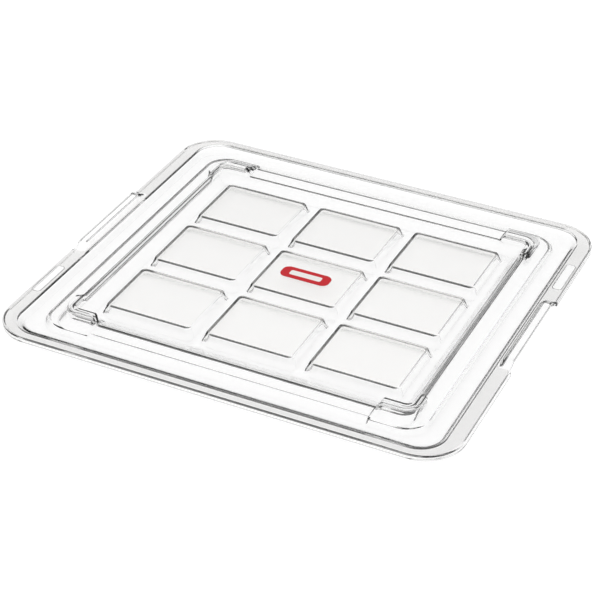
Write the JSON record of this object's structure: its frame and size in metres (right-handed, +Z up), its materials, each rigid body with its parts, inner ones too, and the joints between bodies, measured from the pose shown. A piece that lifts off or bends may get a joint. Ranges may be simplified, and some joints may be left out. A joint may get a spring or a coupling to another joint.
{
  "type": "deli food pan lid",
  "caption": "Clear moulded lid for a 2/3-size food pan, with a seating groove, corner stacking lugs, stiffening pads and a lifting tab at each short end.",
  "frame": {"origin": "centre of the lid in plan, on the underside of the field floor that the lid rests on", "axes": "+X along the lid's length towards a lifting tab, +Y along its width, +Z up through the upper face"},
  "size_m": [0.354, 0.325, 0.0137],
  "materials": {
    "clear_polycarbonate": "polished clear moulding",
    "red_label": "smooth printed film"
  },
  "bodies": {
    "root": {"lid_shell": "clear_polycarbonate", "label": "red_label"}
  },
  "joints": []
}
